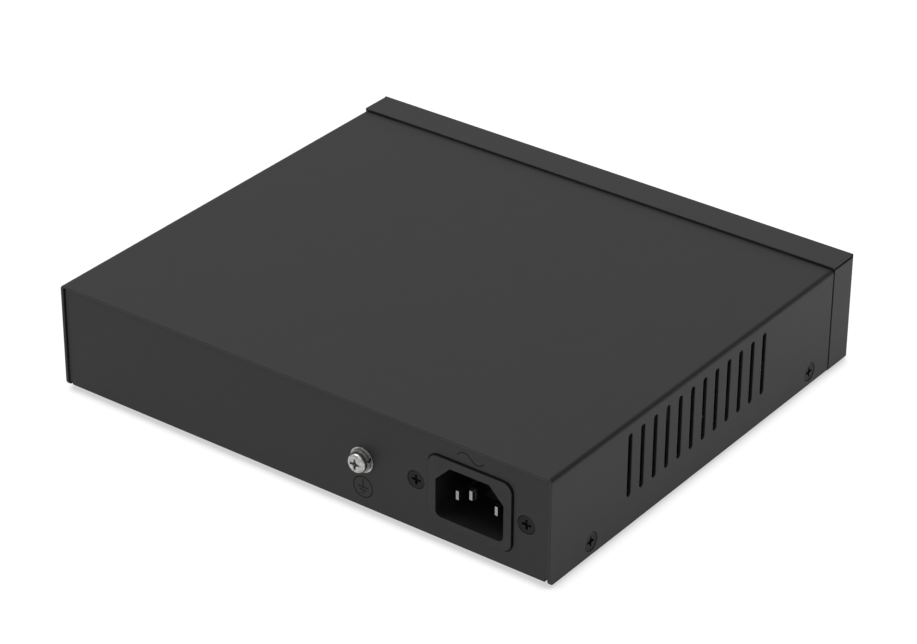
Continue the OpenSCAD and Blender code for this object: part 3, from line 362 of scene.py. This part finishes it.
class FitFasteners(bpy.types.Operator):
    """Finishes the black case screws and the bright hardware inside"""
    bl_idname = "network_switch.fit_fasteners"
    bl_label = "Fit the fasteners"

    def execute(self, context):
        give(blackened_steel("black_zinc_steel", "#0d0d0d"), "cover_screws", "inlet_screws")
        give(plated_steel("zinc_plated_steel", "#b9b9b5", 0.3, 0.5),
             "inlet_nuts", "ground_nut", "board_standoffs", "board_screws")
        return {"FINISHED"}


class FitGroundScrew(bpy.types.Operator):
    """Finishes the ground screw and its two washers"""
    bl_idname = "network_switch.fit_ground_screw"
    bl_label = "Fit the ground screw"

    def execute(self, context):
        nickel = context.scene.switch_finish.nickel
        give(plated_steel("bright_nickel_plate", nickel, 0.16, 0.5, 0.3), "ground_screw")
        give(plated_steel("nickel_plated_washer", nickel, 0.2, 0.5, 0.2), "ground_flat_washer")
        give(plated_steel("zinc_plated_spring_steel", "#8f8f8d", 0.3, 0.4, 0.2), "ground_lock_washer")
        return {"FINISHED"}


# Bars of the earth mark from the top down: half length and drop, as shares of the ring's radius.
EARTH_BARS = ((0.55, 0.02), (0.36, 0.3), (0.17, 0.58))
STEM_RISE = 0.75
RING_STEPS = 48
WAVE_STEPS = 24
# Swing of the wave as a share of half its length, and depth of a line's middle as a share of its width.
WAVE_SWING = 0.28
LINE_DEPTH = 0.3


def bead(name, paths, width, material):
    """A fine round line along paths of points, sunk into the rear panel all but its crest."""
    curve = bpy.data.curves.new(name, "CURVE")
    curve.dimensions = "3D"
    curve.bevel_depth = width / 2
    curve.bevel_resolution = 3
    curve.use_fill_caps = True
    for points, closed in paths:
        spline = curve.splines.new("POLY")
        spline.points.add(len(points) - 1)
        for point, place in zip(spline.points, points):
            point.co = (*place, 1)
        spline.use_cyclic_u = closed
    curve.materials.append(material)
    made = bpy.data.objects.new(name, curve)
    bpy.context.scene.collection.objects.link(made)
    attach(made, CASE)
    return made


def rear_panel():
    """Place of the rear panel's outer face, along Y."""
    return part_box("base_tray")[1].y


class MarkRear(bpy.types.Operator):
    """Sets the earth mark and the alternating-current mark in the rear panel"""
    bl_idname = "network_switch.mark_rear"
    bl_label = "Mark the rear panel"

    def execute(self, context):
        marks = context.scene.switch_marks
        # Painted shade: the marks are near-black beads that stand for the shade down in pressed lines.
        coat = painted_pressed_line_shade("painted_shade_in_pressed_lines", "#0b0b0b")
        width = marks.line_mm * MM
        y = rear_panel() - LINE_DEPTH * width
        low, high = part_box("ground_flat_washer")
        middle = (low + high) / 2
        x, z = middle.x, middle.z - marks.earth_drop
        r = marks.earth_radius
        ring = [(x + r * math.cos(a), y, z + r * math.sin(a)) for a in
                (2 * math.pi * i / RING_STEPS for i in range(RING_STEPS))]
        stem = [(x, y, z + STEM_RISE * r), (x, y, z - EARTH_BARS[0][1] * r)]
        bars = [[(x - half * r, y, z - drop * r), (x + half * r, y, z - drop * r)]
                for half, drop in EARTH_BARS]
        bead("earth_mark", [(ring, True), (stem, False)] + [(bar, False) for bar in bars], width, coat)
        low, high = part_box("inlet_body")
        x, z = (low.x + high.x) / 2, (low.z + high.z) / 2 + marks.wave_rise
        half = marks.wave_length / 2
        wave = [(x + half * t, y, z + WAVE_SWING * half * math.sin(math.pi * t)) for t in
                (2 * i / WAVE_STEPS - 1 for i in range(WAVE_STEPS + 1))]
        bead("current_mark", [(wave, False)], width, coat)
        return {"FINISHED"}


class FitJacks(bpy.types.Operator):
    """Finishes the network jacks: shields, housings and contacts"""
    bl_idname = "network_switch.fit_jacks"
    bl_label = "Fit the network jacks"

    def execute(self, context):
        give(plated_steel("nickel_plated_sheet", "#bebebd", 0.3, 0.8, 0.02), "gang_shield", "uplink_shield")
        give(moulded_plastic("moulded_black_nylon", "#1f1f20", 0.5, 0.4), "gang_housing", "uplink_housing")
        give(plated_steel("gold_plated_bronze", "#d8b062", 0.2, 0.5), "jack_contacts")
        return {"FINISHED"}


class FitLights(bpy.types.Operator):
    """Finishes the lights and the block that holds them"""
    bl_idname = "network_switch.fit_lights"
    bl_label = "Fit the lights"

    def execute(self, context):
        give(moulded_plastic("moulded_black_abs", "#1a1a1a", 0.5, 0.4), "light_holder")
        give(lens_acrylic("diffused_acrylic", "#dfe4dd"), "light_lenses")
        return {"FINISHED"}


class FitBoards(bpy.types.Operator):
    """Finishes the two boards and the parts of the main board"""
    bl_idname = "network_switch.fit_boards"
    bl_label = "Fit the boards"

    def execute(self, context):
        give(board_laminate("green_solder_mask", "#1d5a36", "#3f7f57"), "main_board")
        give(board_laminate("dark_green_solder_mask", "#173a26", "#2c5540"), "power_board")
        give(moulded_plastic("insulating_polyester_film", "#cfc9b2", 0.35, 0.8), "insulating_sheet")
        give(moulded_plastic("moulded_black_epoxy", "#1b1b1d", 0.45, 0.3),
             "switch_chip", "magnetics_modules", "port_power_chips", "flash_chip")
        give(plated_steel("black_anodised_aluminium", "#2a2c31", 0.4, 0.6), "chip_heatsink")
        give(plated_steel("drawn_steel_can", "#c3c3bf", 0.25, 0.5), "clock_crystal")
        give(moulded_plastic("sintered_ferrite", "#2b2b2c", 0.65, 0.3), "power_inductors")
        give(moulded_plastic("vinyl_can_sleeve", "#20242c", 0.3, 0.6), "board_capacitors")
        return {"FINISHED"}


class FitPowerSupply(bpy.types.Operator):
    """Finishes the power supply's parts"""
    bl_idname = "network_switch.fit_power_supply"
    bl_label = "Fit the power supply"

    def execute(self, context):
        give(moulded_plastic("polyester_winding_tape", "#8a6c26", 0.35, 0.7), "power_transformer")
        give(moulded_plastic("sintered_ferrite_core", "#2b2b2c", 0.65, 0.3), "transformer_core")
        give(moulded_plastic("vinyl_bulk_sleeve", "#1f2c4a", 0.3, 0.6), "bulk_capacitor", "output_capacitors")
        give(plated_steel("enamelled_copper", "#7d4c2a", 0.3, 0.5), "line_choke")
        give(moulded_plastic("glazed_ceramic", "#ddd8ca", 0.2, 0.5), "line_fuse")
        give(moulded_plastic("moulded_yellow_film_capacitor", "#c8a32c", 0.4, 0.5), "line_capacitor")
        give(moulded_plastic("moulded_device_epoxy", "#1b1b1d", 0.45, 0.3),
             "bridge_rectifier", "switching_transistor", "output_diode")
        give(plated_steel("extruded_aluminium", "#b5b6b8", 0.35, 0.7), "primary_heatsink", "output_heatsink")
        return {"FINISHED"}


class FitWires(bpy.types.Operator):
    """Finishes the wires and headers inside"""
    bl_idname = "network_switch.fit_wires"
    bl_label = "Fit the wires"

    def execute(self, context):
        give(moulded_plastic("brown_vinyl", "#74402c", 0.4, 0.6), "inlet_wires")
        give(moulded_plastic("green_vinyl", "#3f7a3a", 0.4, 0.6), "earth_lead")
        give(moulded_plastic("red_vinyl", "#a82f2f", 0.4, 0.6), "power_cable")
        give(moulded_plastic("natural_nylon", "#e2dccb", 0.45, 0.5), "cable_headers")
        return {"FINISHED"}


# ---- Stage ----


FLOOR_SIZE = 6.0
FLOOR_WHITE = 0.97
# Painted contact shadow: the floor's glow dims within this distance of the feet and the case, from the first
# openness down to the second.
CONTACT_MM = 5
OPEN, CLOSED = 0.8, 0.45
# Glow of the floor where the painted contact shadow is deepest.
PAINTED_SHADOW_GLOW = 0.6
# Share of plain white that a reflection shows of the floor and of the world.
FLOOR_MIRRORED, WORLD_MIRRORED = 0.5, 0.3
# Heights, as the Z of a direction, between which the light grows to OVERHEAD times the sky's strength.
SIDEWAYS, UPWARD = 0.45, 0.85
OVERHEAD = 2
# Cosines from the flag's middle between which the light falls to FLAG_SHARE.
FLAG_FROM = (-0.69, -0.52, 0.5)
FLAG_RIM, FLAG_CORE = 0.5, 0.9
FLAG_SHARE = 0.1
# Place, target and width of each lamp, in metres.
KEY_LAMP = ((0.4, 0.25, 0.95), (0, 0, 0.02), 0.6)
SIDE_LAMP = ((-0.36, -0.4, 0.12), (-0.09, -0.06, 0.02), 0.2)


def shown_white(tree, mirrored_share):
    """Two shares of plain white: 1 for camera and transmission rays, and the same with reflections added."""
    path = add(tree, "ShaderNodeLightPath").outputs
    direct = add(tree, "ShaderNodeMath", {0: path["Is Camera Ray"], 1: path["Is Transmission Ray"]},
                 operation="MAXIMUM")
    mirrored = add(tree, "ShaderNodeMath", {0: path["Is Glossy Ray"], 1: mirrored_share},
                   operation="MULTIPLY")
    seen = add(tree, "ShaderNodeMath", {0: direct.outputs[0], 1: mirrored.outputs[0]},
               operation="MAXIMUM")
    return direct.outputs[0], seen.outputs[0]


def white_floor(size):
    """A pale floor under the feet, shown as white where nothing shades it, with a painted contact shadow in
    its glow near the case, and clear from below.
    """
    material, tree = start_material("pale_floor")
    pale = add(tree, "ShaderNodeBsdfDiffuse", {"Color": linear("#e6e6e6")})
    contact = add(tree, "ShaderNodeAmbientOcclusion", {"Distance": CONTACT_MM * MM}, samples=8)
    # Painted contact shadow: the floor's glow falls with the openness near the feet and the case.
    strength = add(tree, "ShaderNodeMapRange", {
        "Value": contact.outputs["AO"], "From Min": CLOSED, "From Max": OPEN,
        "To Min": PAINTED_SHADOW_GLOW, "To Max": FLOOR_WHITE})
    glow = add(tree, "ShaderNodeEmission", {
        "Color": linear("#ffffff"), "Strength": strength.outputs["Result"]})
    shade = add(tree, "ShaderNodeBsdfDiffuse", {"Color": linear("#626262")})
    shown = add(tree, "ShaderNodeAddShader", {0: shade.outputs[0], 1: glow.outputs[0]})
    seen = shown_white(tree, FLOOR_MIRRORED)[1]
    above = add(tree, "ShaderNodeMixShader", {0: seen, 1: pale.outputs[0], 2: shown.outputs[0]})
    under = add(tree, "ShaderNodeNewGeometry").outputs["Backfacing"]
    clear = add(tree, "ShaderNodeBsdfTransparent")
    finish_material(tree, add(tree, "ShaderNodeMixShader", {
        0: under, 1: above.outputs[0], 2: clear.outputs[0]}))
    mesh = bpy.data.meshes.new("floor")
    half = size / 2
    square = [(-half, -half, 0), (half, -half, 0), (half, half, 0), (-half, half, 0)]
    mesh.from_pydata(square, [], [(0, 1, 2, 3)])
    mesh.materials.append(material)
    floor = bpy.data.objects.new("floor", mesh)
    bpy.context.scene.collection.objects.link(floor)


def white_world(strength, flag_from):
    """Soft white light, brightest overhead, with one side flagged; the camera sees plain white."""
    world = bpy.data.worlds.new("white_room")
    bpy.context.scene.world = world
    world.use_nodes = True
    tree = world.node_tree
    tree.nodes.clear()
    direct, seen = shown_white(tree, WORLD_MIRRORED)
    direction = add(tree, "ShaderNodeTexCoord").outputs["Generated"]
    height = add(tree, "ShaderNodeSeparateXYZ", {"Vector": direction}).outputs["Z"]
    overhead = add(tree, "ShaderNodeMapRange", {
        "Value": height, "From Min": SIDEWAYS, "From Max": UPWARD,
        "To Min": strength, "To Max": OVERHEAD * strength}, interpolation_type="SMOOTHSTEP")
    toward = add(tree, "ShaderNodeVectorMath", {0: direction, 1: flag_from}, operation="DOT_PRODUCT")
    flag = add(tree, "ShaderNodeMapRange", {
        "Value": toward.outputs["Value"], "From Min": FLAG_RIM, "From Max": FLAG_CORE,
        "To Min": 1.0, "To Max": FLAG_SHARE}, interpolation_type="SMOOTHSTEP")
    lit = add(tree, "ShaderNodeMath", {0: overhead.outputs["Result"], 1: flag.outputs["Result"]},
              operation="MULTIPLY")
    white = add(tree, "ShaderNodeMath", {0: direct, 1: flag.outputs["Result"]}, operation="MAXIMUM")
    level = add(tree, "ShaderNodeMapRange", {
        "Value": seen, "To Min": lit.outputs[0], "To Max": white.outputs[0]})
    light = add(tree, "ShaderNodeBackground", {
        "Color": linear("#ffffff"), "Strength": level.outputs["Result"]})
    add(tree, "ShaderNodeOutputWorld", {"Surface": light.outputs[0]})


def soft_lamp(name, place, target, size, watts):
    """A square area lamp that faces a point and that the camera doesn't see."""
    lamp = bpy.data.lights.new(name, "AREA")
    lamp.shape = "SQUARE"
    lamp.size = size
    lamp.energy = watts
    made = bpy.data.objects.new(name, lamp)
    bpy.context.scene.collection.objects.link(made)
    made.visible_camera = False
    made.location = place
    made.rotation_euler = (Vector(target) - Vector(place)).to_track_quat("-Z", "Y").to_euler()
    return made


class SetStage(bpy.types.Operator):
    """Sets the floor, the even light, two soft lamps and the camera"""
    bl_idname = "network_switch.set_stage"
    bl_label = "Set the stage"

    def execute(self, context):
        stage = context.scene.switch_stage
        scene = context.scene
        white_floor(FLOOR_SIZE)
        white_world(stage.sky, FLAG_FROM)
        soft_lamp("key_lamp", *KEY_LAMP, stage.key_watts)
        fill = soft_lamp("side_lamp", *SIDE_LAMP, stage.side_watts)
        fill.visible_glossy = False
        camera = bpy.data.objects.new("camera", bpy.data.cameras.new("camera"))
        scene.collection.objects.link(camera)
        camera.location = stage.camera_place
        camera.rotation_euler = stage.camera_turn
        camera.data.lens = stage.lens
        camera.data.sensor_width = stage.sensor
        camera.data.shift_x, camera.data.shift_y = stage.shift
        camera.data.clip_start = 0.01
        scene.camera = camera
        scene.view_settings.view_transform = "Standard"
        return {"FINISHED"}


# ---- Add-on ----


PIECES = (PaintCase, FitFeet, FitInlet, FitFasteners, FitGroundScrew, MarkRear, FitJacks, FitLights,
          FitBoards, FitPowerSupply, FitWires, SetStage)


class SwitchPanel(bpy.types.Panel):
    """Lists the steps that dress the switch"""
    bl_idname = "VIEW3D_PT_network_switch"
    bl_label = "Network switch"
    bl_space_type = "VIEW_3D"
    bl_region_type = "UI"
    bl_category = "Switch"

    def draw(self, context):
        for piece in PIECES:
            self.layout.operator(piece.bl_idname)
        for group in (context.scene.switch_finish, context.scene.switch_marks, context.scene.switch_stage):
            for name in group.__annotations__:
                self.layout.prop(group, name)


CLASSES = (SwitchFinish, SwitchMarks, SwitchStage) + PIECES + (SwitchPanel,)


def register():
    for cls in CLASSES:
        bpy.utils.register_class(cls)
    bpy.types.Scene.switch_finish = bpy.props.PointerProperty(type=SwitchFinish)
    bpy.types.Scene.switch_marks = bpy.props.PointerProperty(type=SwitchMarks)
    bpy.types.Scene.switch_stage = bpy.props.PointerProperty(type=SwitchStage)


def unregister():
    del bpy.types.Scene.switch_stage
    del bpy.types.Scene.switch_marks
    del bpy.types.Scene.switch_finish
    for cls in reversed(CLASSES):
        bpy.utils.unregister_class(cls)


def main():
    """Registers the add-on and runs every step."""
    register()
    for piece in PIECES:
        group, name = piece.bl_idname.split(".")
        getattr(getattr(bpy.ops, group), name)()


if __name__ == "__main__":
    main()
